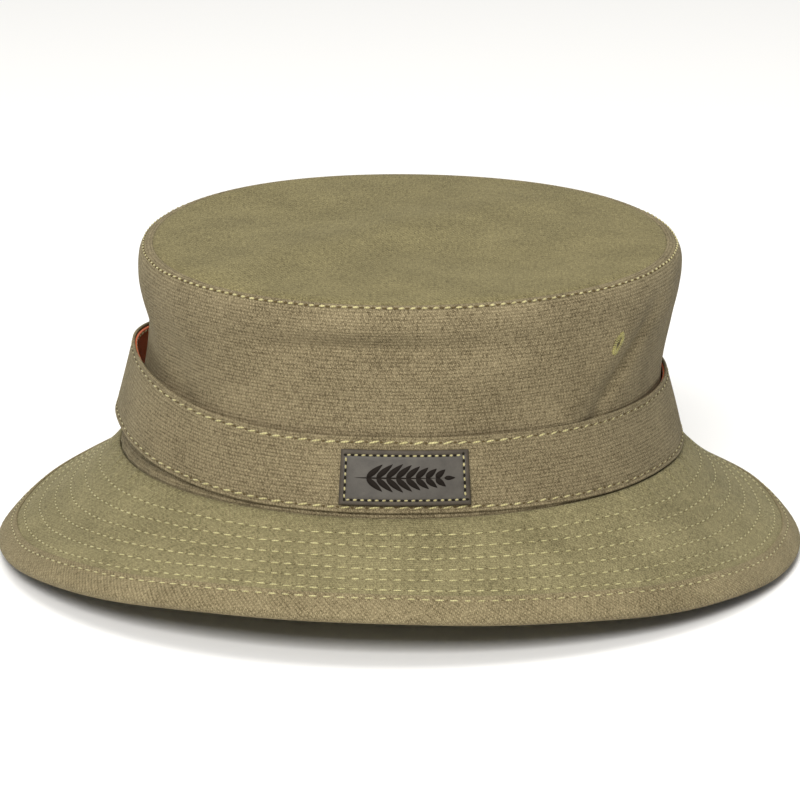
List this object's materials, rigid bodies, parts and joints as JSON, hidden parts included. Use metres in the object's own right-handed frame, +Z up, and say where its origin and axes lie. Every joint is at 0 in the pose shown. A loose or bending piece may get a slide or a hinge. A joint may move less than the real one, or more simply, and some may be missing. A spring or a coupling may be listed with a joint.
{
  "type": "bucket hat",
  "caption": "Khaki canvas bucket hat with a flat oval crown, quilted drooping brim and a loose reversible band that lifts off the crown.",
  "frame": {"origin": "bottom centre of the hat, on the surface that the brim stands on", "axes": "+Z up through the crown; the front, which carries the label, faces -Y; +X is the wearer's left"},
  "size_m": [0.2561, 0.2844, 0.0986],
  "materials": {
    "khaki_canvas": "heavy plain-weave cotton canvas, dry and slightly faded",
    "binding_canvas": "the same canvas cut on the bias",
    "interlining": "stiff woven interlining",
    "thread": "matt cotton-wrapped sewing thread",
    "orange_twill": "bright orange woven lining",
    "label_leather": "matt grey-brown imitation leather with a debossed motif",
    "label_thread": "sewing thread",
    "seam_tape": "woven twill tape",
    "sweatband_cotton": "brushed cotton twill",
    "woven_label": "plain woven label"
  },
  "bodies": {
    "hat": {"crown_wall": "khaki_canvas", "crown_tip": "khaki_canvas", "crown_topstitching": "thread", "crown_back_stitching": "thread", "tip_seam_tape": "seam_tape", "back_seam_tape": "seam_tape", "sweatband": "sweatband_cotton", "sweatband_stitching": "thread", "size_label": "woven_label", "vent_eyelet_left": "thread", "vent_eyelet_right": "thread", "brim_top_panel": "khaki_canvas", "brim_stiffener": "interlining", "brim_under_panel": "khaki_canvas", "brim_edge_binding": "binding_canvas", "brim_stitch_row_1": "thread", "brim_stitch_row_2": "thread", "brim_stitch_row_3": "thread", "brim_stitch_row_4": "thread", "brim_stitch_row_5": "thread", "brim_stitch_row_6": "thread", "binding_stitching": "thread"},
    "band": {"band_outer": "khaki_canvas", "band_lining": "orange_twill", "band_top_stitching": "thread", "band_bottom_stitching": "thread", "band_seam_bartack": "thread", "band_label": "label_leather", "band_label_stitching": "label_thread"}
  },
  "joints": [
    {"name": "band_lift", "type": "slide", "parent": "hat", "child": "band", "axis": [0, 0, 1], "range_m": [0, 0.08]}
  ]
}
